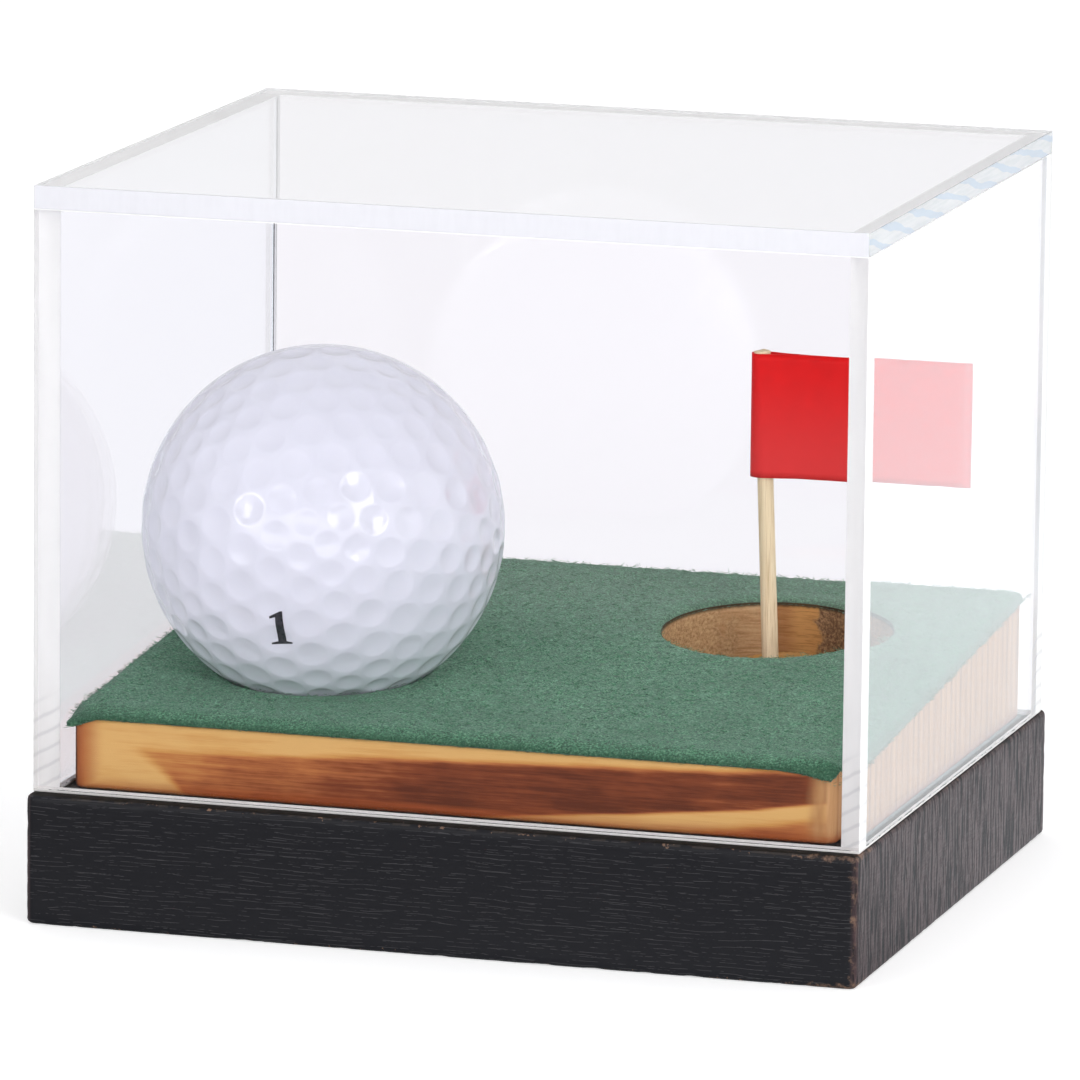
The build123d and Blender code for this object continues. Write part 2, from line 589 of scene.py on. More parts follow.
def pine_finish():
    """Scorched pine: scorched bands on the front, upright rings on the ends, charred edges."""
    finish = Finish("scorched_pine")
    place = finish.place()
    x, y, z = finish.parts(place)
    long_wave = finish.noise(finish.place(stretch=(0.03, 0.03, 0.12)), 1.0, 2.0)
    streak = finish.noise(finish.place(stretch=(0.07, 2.2, 2.2)), 1.0, 4.0, 0.6)
    fibre = finish.noise(finish.place(stretch=(0.35, 7.0, 7.0)), 1.0, 3.0, 0.6)
    wander = finish.times(finish.sum(long_wave, -0.5), 0.22)
    along = finish.times(finish.sum(x, -block_low.x / MM), MM / (block_high.x - block_low.x))
    up = finish.times(finish.sum(z, -block_low.z / MM), MM / sizes().block_front)
    up = finish.sum(up, wander)
    top_line = finish.sum(finish.times(along, 0.38), 0.56)
    foot_line = finish.sum(finish.times(along, 1.15), -0.60)
    under_top = finish.ease(finish.math("SUBTRACT", top_line, up), -0.10, 0.06)
    over_foot = finish.ease(finish.math("SUBTRACT", up, foot_line), -0.03, 0.05)
    past = finish.sum(finish.sum(along, finish.times(up, 0.11)), -0.148)
    past = finish.sum(past, finish.times(finish.sum(streak, -0.5), finish.times(up, 0.03)))
    start = finish.ease(past, finish.times(up, -0.02), finish.sum(finish.times(up, 0.02), 0.012))
    band = finish.times(finish.times(under_top, over_foot), start)
    corner = finish.ease(
        finish.math("SUBTRACT", finish.sum(finish.times(along, 1.8), -1.40), up), -0.1, 0.12
    )
    band = finish.math("MAXIMUM", band, finish.times(corner, 0.62))
    front = finish.ease(y, block_low.y / MM + 3.0, block_low.y / MM + 1.2)
    rings = finish.node("TexWave", wave_type="BANDS", bands_direction="Y", wave_profile="SAW")
    finish.join(finish.place(stretch=(0.03, 1.0, 0.10)), rings.inputs["Vector"])
    finish.join(0.13, rings.inputs["Scale"])
    finish.join(3.2, rings.inputs["Distortion"])
    finish.join(2.0, rings.inputs["Detail"])
    finish.join(0.7, rings.inputs["Detail Scale"])
    ring_dark = finish.ease(rings.outputs["Fac"], 0.4, 0.95)
    on_end = finish.ease(finish.math("ABSOLUTE", x), block_high.x / MM - 1.6, block_high.x / MM - 0.8)
    inside = finish.ease(streak, 0.3, 0.7, 0.10, 0.30)
    band = finish.times(band, finish.ease(finish.sum(along, finish.times(up, -0.16)), -0.05, 0.5, 0.45, 0.92))
    dark = finish.mix(front, finish.mix(on_end, inside, ring_dark), band)
    dark = finish.sum(dark, finish.times(finish.sum(streak, -0.5), 0.6))
    dark = finish.sum(dark, finish.times(finish.sum(fibre, -0.5), 0.22))
    cloud = finish.noise(finish.place(stretch=(0.13, 0.3, 0.3), shift=(9, 0, 0)), 1.0, 3.0, 0.6)
    dark = finish.sum(dark, finish.times(finish.sum(cloud, -0.5), 0.5))
    pine, scorch = colours().pine, colours().scorch
    base = finish.ramp(
        dark,
        (0.0, pine),
        (0.28, (pine[0] * 0.86, pine[1] * 0.72, pine[2] * 0.56)),
        (0.55, (scorch[0] * 2.4, scorch[1] * 3.4, scorch[2] * 2.8)),
        (0.8, (scorch[0] * 1.15, scorch[1] * 1.15, scorch[2] * 1.0)),
        (1.0, shade(scorch, 0.6)),
    )
    upright = finish.noise(finish.place(stretch=(0.3, 1.6, 0.1)), 1.0, 3.0, 0.6)
    end_tone = finish.sum(finish.times(ring_dark, 0.45), finish.ease(upright, 0.2, 0.8, -0.1, 0.6))
    end_grain = finish.ramp(
        end_tone,
        (0.0, (0.62, 0.36, 0.165)),
        (0.5, (0.47, 0.24, 0.10)),
        (1.0, (0.28, 0.125, 0.05)),
    )
    base = finish.mix(on_end, base, end_grain)
    wavy = finish.sum(x, finish.times(finish.sum(long_wave, finish.times(streak, 0.5)), 2.0))
    sanded = finish.ease(wavy, block_high.x / MM - 2.4, block_high.x / MM - 0.6, 0.0, 0.85)
    sanded = finish.times(sanded, finish.math("SUBTRACT", 1.0, on_end))
    base = finish.mix(sanded, base, finish.ramp(
        upright, (0.35, (0.40, 0.19, 0.07)), (0.65, (0.62, 0.37, 0.165))
    ))
    base = finish.mix(in_cup(finish, x, y), base, cup_wood(finish, place, x, streak, fibre))
    on_left = finish.math("LESS_THAN", x, 0.0)
    edge = edge_distance(
        finish, (x, y, z), block_low, block_high,
        finish.sum(finish.times(on_left, 3.43), -3.0), finish.sum(finish.times(on_left, -0.65), 1.0),
    )
    lit_low = finish.math("MINIMUM", edge, finish.sum(z, -block_low.z / MM))
    rough_edge = finish.sum(lit_low, finish.times(finish.sum(streak, -0.5), 1.6))
    from_end = finish.sum(along, finish.times(finish.sum(streak, -0.5), 0.01))
    glow = finish.times(finish.ease(from_end, 0.045, 0.012), 0.8)
    dark_glow = finish.math("MAXIMUM", glow, finish.ease(rough_edge, 1.9, 0.2, 0.0, 0.75))
    base = finish.mix(dark_glow, base, (scorch[0] * 1.9, scorch[1] * 1.7, scorch[2] * 1.1))
    char = finish.sum(lit_low, finish.times(finish.sum(long_wave, -0.5), 0.3))
    base = finish.mix(finish.ease(char, 0.32, 0.08, 0.0, 0.93), base, shade(scorch, 0.3))
    relief = finish.sum(finish.times(fibre, 0.7), finish.times(dark, -0.6))
    finish.set(
        Base_Color=base,
        Roughness=finish.ease(fibre, 0.2, 0.8, 0.5, 0.72),
        Normal=finish.bump(relief, 0.06, 0.7),
        Specular_IOR_Level=0.18,
    )
    return finish.material


def in_cup(finish, x, y):
    """1 inside the cup's bore, 0 elsewhere."""
    across = finish.math("POWER", finish.sum(x, -sizes().cup_x / MM), 2.0)
    deep = finish.math("POWER", finish.sum(y, -sizes().cup_y / MM), 2.0)
    reach = sizes().cup_diameter / 2 / MM + 0.4
    return finish.math("LESS_THAN", finish.sum(across, deep), reach * reach)


def cup_wood(finish, place, x, streak, fibre):
    """Bored wood: mottled at the left, level grain at the back, amber towards the right; painted shade
    darkens its right wall and its top rim.
    """
    across = finish.sum(x, -sizes().cup_x / MM)
    level = finish.noise(finish.place(stretch=(0.25, 0.25, 3.2)), 1.0, 4.0, 0.65)
    grain = finish.sum(finish.times(level, 0.75), finish.times(fibre, 0.25))
    bored = finish.ramp(
        grain, (0.38, (0.42, 0.235, 0.105)), (0.5, (0.56, 0.34, 0.16)), (0.62, (0.66, 0.44, 0.24))
    )
    mottle = finish.noise(place, 2.7, 5.0, 0.7)
    patch = finish.times(finish.sum(finish.noise(place, 0.5, 3.0, 0.6), -0.5), 7.0)
    mottled = finish.ramp(
        mottle, (0.38, (0.36, 0.21, 0.10)), (0.5, (0.53, 0.335, 0.16)), (0.62, (0.65, 0.45, 0.24))
    )
    brown = finish.mix(finish.ease(across, -4.4, -3.7, 0.0, 0.75), bored, (0.42, 0.175, 0.05))
    amber = finish.mix(finish.ease(across, -1.6, 0.6, 0.0, 0.8), brown, (0.68, 0.36, 0.115))
    streaked = finish.mix(finish.ease(grain, 0.52, 0.40, 0.0, 0.55), amber, (0.30, 0.13, 0.045))
    bored = finish.mix(finish.ease(across, -4.4, -3.7), bored, streaked)
    bored = finish.mix(
        finish.ease(finish.sum(across, finish.times(patch, 2.0)), -6.0, -9.0), bored, mottled
    )
    # Painted shade: the bore's right wall is darkened towards the right, with darker specks.
    right_wall_shade = finish.sum(finish.sum(across, patch), finish.times(grain, 1.5))
    speckled = finish.ramp(mottle, (0.42, (0.10, 0.053, 0.034)), (0.62, (0.44, 0.27, 0.14)))
    bored = finish.mix(finish.ease(right_wall_shade, 2.9, 4.3, 0.0, 0.9), bored, speckled)
    slope = slope_frame()
    _, y, z = finish.parts(place)
    over = finish.times(finish.sum(z, -slope.translation.z / MM), slope.col[2].z)
    over = finish.sum(over, finish.times(y, slope.col[2].y))
    over = finish.sum(over, finish.times(finish.sum(mottle, -0.5), 0.5))
    # Painted shade: the bore's top rim, raised above the slope, is painted near-black green where the felt's
    # cut edge meets it.
    return finish.mix(finish.ease(over, 0.0, 0.5, 0.0, 0.9), bored, (0.02, 0.022, 0.014))


def felt_finish(name="green_felt", tone=1.0):
    """Green felt: matted wool with lighter and darker tufts; painted shade darkens its cut sides and its
    front, and painted light lightens its back.
    """
    finish = Finish(name)
    place = finish.place()
    tufts = finish.noise(place, 3.6, 2.0, 0.6)
    hairs = finish.noise(finish.place(stretch=(1.0, 0.6, 1.0), turn=(0, 0, 0.7)), 6.0, 2.0, 0.7)
    blotch = finish.noise(place, 0.12, 3.0, 0.6)
    green = shade(colours().felt, tone)
    clumps = finish.noise(place, 0.9, 3.0, 0.6)
    mixed = finish.sum(finish.times(tufts, 0.5), finish.times(hairs, 0.35))
    mixed = finish.sum(mixed, finish.times(clumps, 0.15))
    base = finish.ramp(
        mixed,
        (0.40, shade(green, 0.25)),
        (0.48, shade(green, 0.85)),
        (0.53, shade(green, 1.2)),
        (0.60, (green[0] * 3.4, green[1] * 2.3, green[2] * 2.6)),
    )
    base = finish.mix(finish.ease(blotch, 0.35, 0.7, 0.0, 0.35), base, shade(green, 0.7))
    _, y, z = finish.parts(place)
    slope = slope_frame()
    upright = slope.col[2]
    height = finish.times(finish.sum(z, -slope.translation.z / MM), upright.z)
    height = finish.sum(height, finish.times(y, upright.y))
    # Painted shade: the felt's cut sides, below its top, are painted darker.
    base = finish.mix(finish.ease(height, 1.1, 0.35, 0.0, 0.6), base, shade(green, 0.35))
    # Painted shade darkens the felt towards its front, and painted light lightens it towards its back.
    base = finish.mix(finish.ease(y, -12.0, -38.0, 0.0, 0.16), base, shade(green, 0.35))
    base = finish.mix(finish.ease(y, -6.0, 30.0, 0.0, 0.19), base, (0.5, 0.56, 0.50))
    finish.set(
        Base_Color=base,
        Roughness=finish.ease(tufts, 0.2, 0.8, 0.82, 0.97),
        Sheen_Weight=0.35,
        Sheen_Roughness=0.5,
        Sheen_Tint=(0.75, 0.95, 0.85),
        Specular_IOR_Level=0.15,
        Normal=finish.bump(mixed, 0.3, 1.0),
    )
    return finish.material


def ball_finish():
    """White lacquered skin with a hard clear coat."""
    finish = Finish("ball_white")
    place = finish.place()
    cloud = finish.noise(place, 0.16, 3.0)
    ripple = finish.noise(place, 0.9, 3.0, 0.5)
    white = colours().ball
    base = finish.mix(finish.ease(cloud, 0.3, 0.7), white, shade(white, 0.965))
    finish.set(
        Base_Color=base,
        Roughness=finish.ease(ripple, 0.3, 0.7, 0.45, 0.55),
        Subsurface_Weight=0.08,
        Subsurface_Radius=(0.6 * MM, 0.6 * MM, 0.65 * MM),
        Subsurface_Scale=1.0,
        Specular_IOR_Level=0.2,
        Coat_Weight=1.0,
        Coat_Roughness=0.004,
        Normal=finish.bump(ripple, 0.006, 0.5),
    )
    return finish.material


def core_finish():
    """Rubbery core, seen only where the skin is cut away."""
    finish = Finish("ball_core")
    speckle = finish.noise(finish.place(), 1.2, 4.0, 0.7)
    finish.set(
        Base_Color=finish.ramp(speckle, (0.3, (0.16, 0.26, 0.46)), (0.7, (0.22, 0.33, 0.54))),
        Roughness=finish.ease(speckle, 0.3, 0.7, 0.6, 0.8),
        Normal=finish.bump(speckle, 0.05, 0.5),
    )
    return finish.material


def ink_finish():
    """Black print, a little thin in places."""
    finish = Finish("print_ink")
    thin = finish.noise(finish.place(), 3.0, 4.0, 0.7)
    ink = colours().ink
    finish.set(
        Base_Color=finish.ramp(thin, (0.35, ink), (0.75, shade(ink, 3.0))),
        Roughness=finish.ease(thin, 0.3, 0.7, 0.25, 0.4),
    )
    return finish.material


def bamboo_finish(lean):
    """Pale bamboo with fibres along the stick."""
    finish = Finish("bamboo")
    turn = (0, -lean, 0)
    streaks = finish.noise(finish.place(stretch=(5.0, 5.0, 0.06), turn=turn), 1.0, 3.0, 0.6)
    fibres = finish.noise(finish.place(stretch=(14.0, 14.0, 0.25), turn=turn), 1.0, 3.0, 0.65)
    tone = finish.sum(finish.times(streaks, 0.65), finish.times(fibres, 0.35))
    cane = colours().bamboo
    finish.set(
        Base_Color=finish.ramp(
            tone,
            (0.32, (cane[0] * 0.62, cane[1] * 0.52, cane[2] * 0.42)),
            (0.48, cane),
            (0.66, (cane[0] * 1.12, cane[1] * 1.18, cane[2] * 1.3)),
        ),
        Roughness=finish.ease(fibres, 0.2, 0.8, 0.45, 0.7),
        Normal=finish.bump(tone, 0.08, 0.8),
        Specular_IOR_Level=0.3,
    )
    return finish.material


def paper_finish():
    """Red coated paper, faintly mottled, with a soft sheen, and painted lighter and pinker towards its lower
    edge as a painted sheen.
    """
    finish = Finish("red_paper")
    place = finish.place()
    mottle = finish.noise(place, 0.5, 4.0, 0.6)
    tooth = finish.noise(place, 6.0, 3.0, 0.6)
    red = colours().flag
    mottled = finish.ramp(mottle, (0.3, shade(red, 0.94)), (0.7, shade(red, 1.05)))
    # Painted sheen: the paper is painted lighter and pinker towards its lower edge.
    height = finish.parts(place)[2]
    painted_sheen = finish.ease(height, flag_high.z / MM, flag_low.z / MM)
    finish.set(
        Base_Color=finish.mix(painted_sheen, mottled, (red[0] * 0.98, red[1] * 9.0, red[2] * 7.2)),
        Roughness=finish.ease(tooth, 0.3, 0.7, 0.38, 0.5),
        Normal=finish.bump(tooth, 0.012, 0.5),
        Specular_IOR_Level=0.15,
    )
    return finish.material


def acrylic_finish():
    """Clear acrylic that lets the lamps through to what it covers."""
    finish = Finish("clear_acrylic")
    finish.set(
        Base_Color=(0.97, 0.963, 0.985),
        Roughness=0.0,
        IOR=1.49,
        Transmission_Weight=1.0,
    )
    finish.clear_to_lamps((0.95, 0.95, 0.96))
    return finish.material


def cement_finish(name, tone):
    """Milky cement between two sheets, with faint slanting brush marks near the foot."""
    finish = Finish(name)
    cloud = finish.noise(finish.place(stretch=(1.0, 1.0, 0.2)), 1.0, 3.0, 0.6)
    x, _, z = finish.parts(finish.object_place)
    slant = finish.sum(finish.times(z, 1 / (2.05 * MM)), finish.times(x, -0.278 / MM))
    slant = finish.sum(slant, finish.times(cloud, 0.25))
    mark = finish.ease(finish.math("PINGPONG", slant, 0.5), 0.33, 0.46)
    mark = finish.times(mark, finish.ease(z, plinth_high.z + 12 * MM, plinth_high.z + 9 * MM))
    base = finish.ramp(cloud, (0.3, shade(tone, 0.97)), (0.6, tone))
    finish.set(
        Base_Color=finish.mix(finish.times(mark, 0.45), base, (0.68, 0.68, 0.70)),
        Roughness=0.3,
        IOR=1.49,
        Transmission_Weight=0.15,
    )
    finish.clear_to_lamps((0.9, 0.9, 0.92))
    return finish.material


def edge_finish():
    """Cut edge of a clear sheet, frosted by fine lines; its right end is painted darker, with bluish facet
    stripes, as painted reflections.
    """
    finish = Finish("edge_acrylic")
    lines = finish.noise(finish.place(stretch=(0.25, 0.25, 2.0)), 1.0, 3.0, 0.6)
    streaks = finish.noise(finish.place(stretch=(0.2, 0.12, 1.8), turn=(0.12, 0, 0)), 1.0, 3.0, 0.65)
    bend = finish.noise(finish.place(stretch=(0.12, 0.12, 0.3)), 1.0, 2.0)
    x, y, z = finish.parts(finish.object_place)
    slant = finish.sum(finish.times(y, 1 / (12 * MM)), finish.times(z, 5 / (12 * MM)))
    slant = finish.sum(slant, finish.times(bend, 0.8))
    # Painted reflections: bluish facet stripes and a darker tint, laid on the right end.
    facet_reflections = finish.ease(finish.math("PINGPONG", slant, 0.5), 0.31, 0.35)
    on_right = finish.ease(x, sheet_high.x - 0.2 * MM, sheet_high.x)
    clear = finish.ramp(streaks, (0.40, (0.90, 0.915, 0.93)), (0.56, (1.0, 1.0, 1.0)))
    clear = finish.mix(finish.times(on_right, 0.4), clear, (0.2, 0.24, 0.28))
    finish.set(
        Base_Color=finish.mix(
            finish.times(facet_reflections, finish.times(on_right, 0.85)), clear, (0.46, 0.56, 0.70)
        ),
        Roughness=finish.ease(lines, 0.3, 0.7, 0.12, 0.2),
        IOR=1.49,
        Transmission_Weight=0.5,
    )
    finish.clear_to_lamps((0.9, 0.9, 0.92))
    return finish.material


def sawn_finish():
    """Sawn, unpolished edge of the clear sheets, white with fine saw marks."""
    finish = Finish("sawn_acrylic")
    marks = finish.noise(finish.place(stretch=(2.5, 2.5, 0.6)), 1.0, 3.0, 0.6)
    finish.set(
        Base_Color=finish.ramp(marks, (0.3, (0.82, 0.80, 0.79)), (0.7, (0.90, 0.88, 0.87))),
        Roughness=0.5,
        Normal=finish.bump(marks, 0.05, 0.6),
    )
    return finish.material


# ---- pieces ----


def wear_edges(bm, low, high, reach, depth, seed):
    """Dents the edges of a box here and there, as handling does."""
    bm.normal_update()
    shift = Vector((seed, seed * 2, seed * 3))
    for vert in bm.verts:
        away = sorted(
            min(vert.co[i] - low[i], high[i] - vert.co[i]) for i in range(3)
        )
        near = 1 - min(1.0, (away[0] + away[1]) / reach)
        if near <= 0:
            continue
        rough = noise.noise(vert.co / (1.7 * MM) + shift) + 0.5 * noise.noise(
            vert.co / (0.6 * MM) + shift
        )
        vert.co -= vert.normal * near * max(0.0, rough) * depth


class CASE_OT_plinth(bpy.types.Operator):
    """Black board with softened, slightly dented edges"""

    bl_idname = "case.plinth"
    bl_label = "Plinth"

    def execute(self, context):
        bm = block_between(plinth_low, plinth_high)
        round_edges(bm, edges_along(bm, 2), sizes().corner_round, 4)
        flat = [f for f in bm.faces if abs(f.normal.z) > 0.9]
        rim = {edge for face in flat for edge in face.edges}
        round_edges(bm, list(rim), sizes().edge_round, 3)
        flat = [f for f in bm.faces if abs(f.normal.z) > 0.999]
        bmesh.ops.inset_individual(bm, faces=flat, thickness=1.2 * MM)
        for axis, step in ((0, 0.5 * MM), (1, 0.5 * MM), (2, 0.5 * MM)):
            long_edges = edges_along(bm, axis, 5 * MM)
            length = max(e.calc_length() for e in long_edges)
            bmesh.ops.subdivide_edges(
                bm, edges=long_edges, cuts=int(length / step), use_grid_fill=True
            )
        wear_edges(bm, plinth_low, plinth_high, 2.4 * MM, 0.16 * MM, 3.0)
        piece = object_from("plinth_board", bm, [board_finish()])
        settle(piece, "base", ["plinth"])
        return {"FINISHED"}


class CASE_OT_block(bpy.types.Operator):
    """Sloping block of scorched pine, bored for the ball, the cup and the stick"""

    bl_idname = "case.block"
    bl_label = "Wood block"

    def execute(self, context):
        bm = block_between(block_low, block_high)
        for vert in bm.verts:
            if vert.co.y < 0 and vert.co.z > (block_low.z + block_high.z) / 2:
                vert.co.z = block_low.z + sizes().block_front
        round_edges(bm, edges_along(bm, 2), sizes().block_round, 6)
        bm.normal_update()
        under = [e for f in bm.faces if f.normal.z < -0.9 for e in f.edges]
        over = [e for f in bm.faces if f.normal.z > 0.9 for e in f.edges]
        round_edges(bm, list(set(under)), 0.7 * MM, 4)
        round_edges(bm, list(set(over)), 0.4 * MM, 3)
        piece = object_from("pine_block", bm, [pine_finish()])
        slope = slope_frame()
        seat = on_slope(ball_centre)
        cup = slope.inverted() @ Vector((sizes().cup_x, sizes().cup_y, slope.translation.z))
        cup_mouth = slope @ Vector((cup.x, sizes().cup_y / math.cos(slope.to_euler().x), 0))
        cup = slope.inverted() @ cup_mouth
        cup_depth = (cup_mouth.z - block_low.z - sizes().cup_floor) / math.cos(
            slope.to_euler().x
        )
        cutters = bmesh.new()
        seat_depth = 7.0 * MM
        rod(
            cutters, sizes().seat_diameter / 2, -seat_depth, 5 * MM,
            slope @ Matrix.Translation(seat), 72,
        )
        rod(
            cutters, sizes().cup_diameter / 2, -cup_depth, 5 * MM,
            slope @ Matrix.Translation((cup.x, cup.y, 0)), 96,
        )
        cut(piece, cutters)
        drill = bmesh.new()
        rod(drill, stick_radius + 0.04 * MM, 0.0, 4 * MM, stick_frame(), 24)
        cut(piece, drill)
        bm = bmesh.new()
        bm.from_mesh(piece.data)
        bmesh.ops.remove_doubles(bm, verts=bm.verts, dist=0.001 * MM)
        for vert in bm.verts:
            local = slope.inverted() @ vert.co - cup
            away = math.hypot(local.x, local.y) - sizes().cup_diameter / 2
            if abs(away) < 0.05 * MM and abs(local.z) < 0.05 * MM:
                vert.co += slope.col[2].xyz * 0.7 * MM
        shade_smooth(bm, 3e-5)
        bm.to_mesh(piece.data)
        bm.free()
        settle(piece, "base", ["wedge_block"])
        return {"FINISHED"}


def stick_frame():
    """Matrix of the stick: its foot at the origin and its length along Z."""
    run = (stick_high.x - stick_low.x) - 2 * stick_radius
    rise = stick_high.z - stick_low.z
    lean = math.atan2(run, rise)
    foot = Vector(
        (
            stick_high.x - stick_radius * math.cos(lean),
            (stick_low.y + stick_high.y) / 2,
            stick_low.z + stick_radius * math.sin(lean),
        )
    )
    return Matrix.Translation(foot) @ Matrix.Rotation(-lean, 4, "Y")


def felt_roll(x, y, half_x, half_y, cup):
    """How far the felt's top is pressed down near its outer edges and the cup's rim."""
    from_rim = math.hypot(x - cup.x, y - cup.y) - sizes().cup_diameter / 2
    from_side = min(half_x - abs(x), half_y - abs(y))
    outer = 1 - min(1.0, max(0.0, from_side) / (2.8 * MM))
    inner = 1 - min(1.0, max(0.0, from_rim) / (1.6 * MM))
    return max(0.85 * MM * outer * outer, 0.42 * MM * inner * inner)


def felt_bend(x, y, half_x, half_y):
    """How far the felt hangs at a place on the slope: over the right front corner."""
    right = max(0.0, (x - (half_x - 9 * MM)) / (9 * MM))
    front = max(0.0, (-half_y + 1.2 * MM - y) / (1.6 * MM))
    left = max(0.0, 1 - math.hypot(x + half_x, y + half_y) / (3.5 * MM))
    return 2.0 * MM * right * right * min(1.0, front) + 1.3 * MM * left


class CASE_OT_felt(bpy.types.Operator):
    """Green felt on the slope, open over the cup and round the ball, with loose fibres"""

    bl_idname = "case.felt"
    bl_label = "Felt"

    def execute(self, context):
        slope = slope_frame()
        over = sizes().felt_overhang
        half_x = (block_high.x - block_low.x) / 2 + over
        half_y = (block_high.y - block_low.y) / 2 / math.cos(slope.to_euler().x) + over
        thick = sizes().felt_thickness
        bm = block_between(Vector((-half_x, -half_y, 0)), Vector((half_x, half_y, thick)))
        round_edges(bm, edges_along(bm, 2), sizes().block_round + over, 6)
        sheet = object_from("felt_green", bm, [felt_finish()])
        cup = Vector((sizes().cup_x, sizes().cup_y / math.cos(slope.to_euler().x), 0))
        seat = on_slope(ball_centre)
        holes = bmesh.new()
        rod(holes, sizes().cup_diameter / 2, -MM, 3 * MM, Matrix.Translation(cup), 96)
        rod(holes, sizes().felt_seat_diameter / 2, -MM, 3 * MM, Matrix.Translation(seat), 96)
        cut(sheet, holes)
        mat = sheet.modifiers.new("matting", "REMESH")
        mat.mode = "VOXEL"
        mat.voxel_size = 0.45 * MM
        bpy.context.view_layer.update()
        applied(sheet)
        bm = bmesh.new()
        bm.from_mesh(sheet.data)
        corner_round = sizes().block_round + over
        for vert in bm.verts:
            x, y, z = vert.co
            high = min(1.0, z / thick)
            aside, ahead = corner_round - half_x - x, corner_round - half_y - y
            if aside > 0 and ahead > 0:
                pull = math.hypot(aside, ahead) / max(aside, ahead) - 1
                vert.co.x -= aside * pull
                vert.co.y -= ahead * pull
            lump = noise.noise(vert.co / (0.55 * MM)) + 0.6 * noise.noise(vert.co / (1.9 * MM))
            vert.co.z += high * lump * 0.10 * MM
            fray = noise.noise(Vector((x, y, 0)) / (0.8 * MM) + Vector((7, 3, 1)))
            if half_x - abs(x) < 0.6 * MM:
                vert.co.x += math.copysign(fray * 0.22 * MM, x)
            if half_y - abs(y) < 0.6 * MM:
                vert.co.y += math.copysign(fray * 0.22 * MM, y)
            vert.co.z -= high * felt_roll(x, y, half_x, half_y, cup)
            flap = max(0.0, 1 - math.hypot(x + half_x, y + half_y) / (3.5 * MM))
            vert.co.x -= 0.4 * MM * flap * flap
            vert.co.y -= 0.3 * MM * flap * flap
            vert.co.z -= felt_bend(x, y, half_x, half_y)
        bmesh.ops.transform(bm, matrix=slope, verts=bm.verts)
        for vert in bm.verts:
            away = vert.co - ball_centre
            if away.length < ball_radius + 0.12 * MM:
                vert.co = ball_centre + away.normalized() * (ball_radius + 0.12 * MM)
        for face in bm.faces:
            face.smooth = True
        bm.to_mesh(sheet.data)
        bm.free()
        if not sheet.data.materials:
            sheet.data.materials.append(felt_finish())
        settle(sheet, "base", ["felt_turf"])
        self.add_fibres(slope, half_x, half_y, thick, cup, seat)
        return {"FINISHED"}

    def add_fibres(self, slope, half_x, half_y, thick, cup, seat):
        """Loose hairs that lie on the felt and stand out from its edges."""
        rng = random.Random(11)
        hair = bmesh.new()
        ring = bmesh.ops.create_circle(hair, segments=3, radius=0.028 * MM)["verts"]
        bmesh.ops.rotate(
            hair, verts=ring, cent=(0, 0, 0), matrix=Matrix.Rotation(math.pi / 2, 3, "Y")
        )
        edges = list(hair.edges)
        for step in range(2):
            grown = bmesh.ops.extrude_edge_only(hair, edges=edges)["geom"]
            tip = [g for g in grown if isinstance(g, bmesh.types.BMVert)]
            edges = [g for g in grown if isinstance(g, bmesh.types.BMEdge)]
            bend = 0.45 * (step + 0.3)
            bmesh.ops.translate(hair, verts=tip, vec=(0.34 * MM, bend * 0.34 * MM, bend * 0.12 * MM))
        hair_mesh = bpy.data.meshes.new("hair_pattern")
        hair.to_mesh(hair_mesh)
        hair.free()
        bm = bmesh.new()
        batch = bmesh.new()
        batch_mesh = bpy.data.meshes.new("hair_batch")
        count = 16000
        for turn in range(count):
            if turn % 150 == 149:
                batch.to_mesh(batch_mesh)
                bm.from_mesh(batch_mesh)
                batch.clear()
            x = rng.uniform(-half_x, half_x)
            y = rng.uniform(-half_y, half_y)
            at_edge = rng.random() < 0.12
            if at_edge:
                side = rng.randrange(4)
                x = (half_x, -half_x, x, x)[side]
                y = (y, y, half_y, -half_y)[side]
            from_cup = (Vector((x, y, 0)) - cup).length
            from_seat = (Vector((x, y, 0)) - seat).length
            if from_cup < sizes().cup_diameter / 2 or from_seat < sizes().felt_seat_diameter / 2:
                continue
            z = rng.uniform(0.1, 0.75) * thick if at_edge else thick + rng.uniform(0, 0.12) * MM
            z -= min(1.0, z / thick) * felt_roll(x, y, half_x, half_y, cup)
            heading = rng.uniform(0, 2 * math.pi)
            if at_edge:
                outward = math.atan2(y / half_y ** 2, x / half_x ** 2)
                heading = outward + rng.uniform(-1.0, 1.0)
            pitch = rng.uniform(-0.30, 0.10)
            length = rng.uniform(0.5, 1.25) * (0.8 if at_edge else 1.0)
            first = len(batch.verts)
            batch.from_mesh(hair_mesh)
            batch.verts.ensure_lookup_table()
            place = (
                Matrix.Translation((x, y, z - felt_bend(x, y, half_x, half_y)))
                @ Matrix.Rotation(heading, 4, "Z")
                @ Matrix.Rotation(pitch, 4, "Y")
                @ Matrix.Diagonal((length, rng.choice((-1, 1)) * length, 1, 1))
            )
            bmesh.ops.transform(batch, matrix=slope @ place, verts=batch.verts[first:])
        batch.to_mesh(batch_mesh)
        bm.from_mesh(batch_mesh)
        batch.free()
        bpy.data.meshes.remove(batch_mesh)
        bmesh.ops.recalc_face_normals(bm, faces=bm.faces)
        piece = object_from("felt_fibres", bm, [felt_finish("green_fibre", 1.35)])
        bpy.data.meshes.remove(hair_mesh)
        settle(piece, "base")


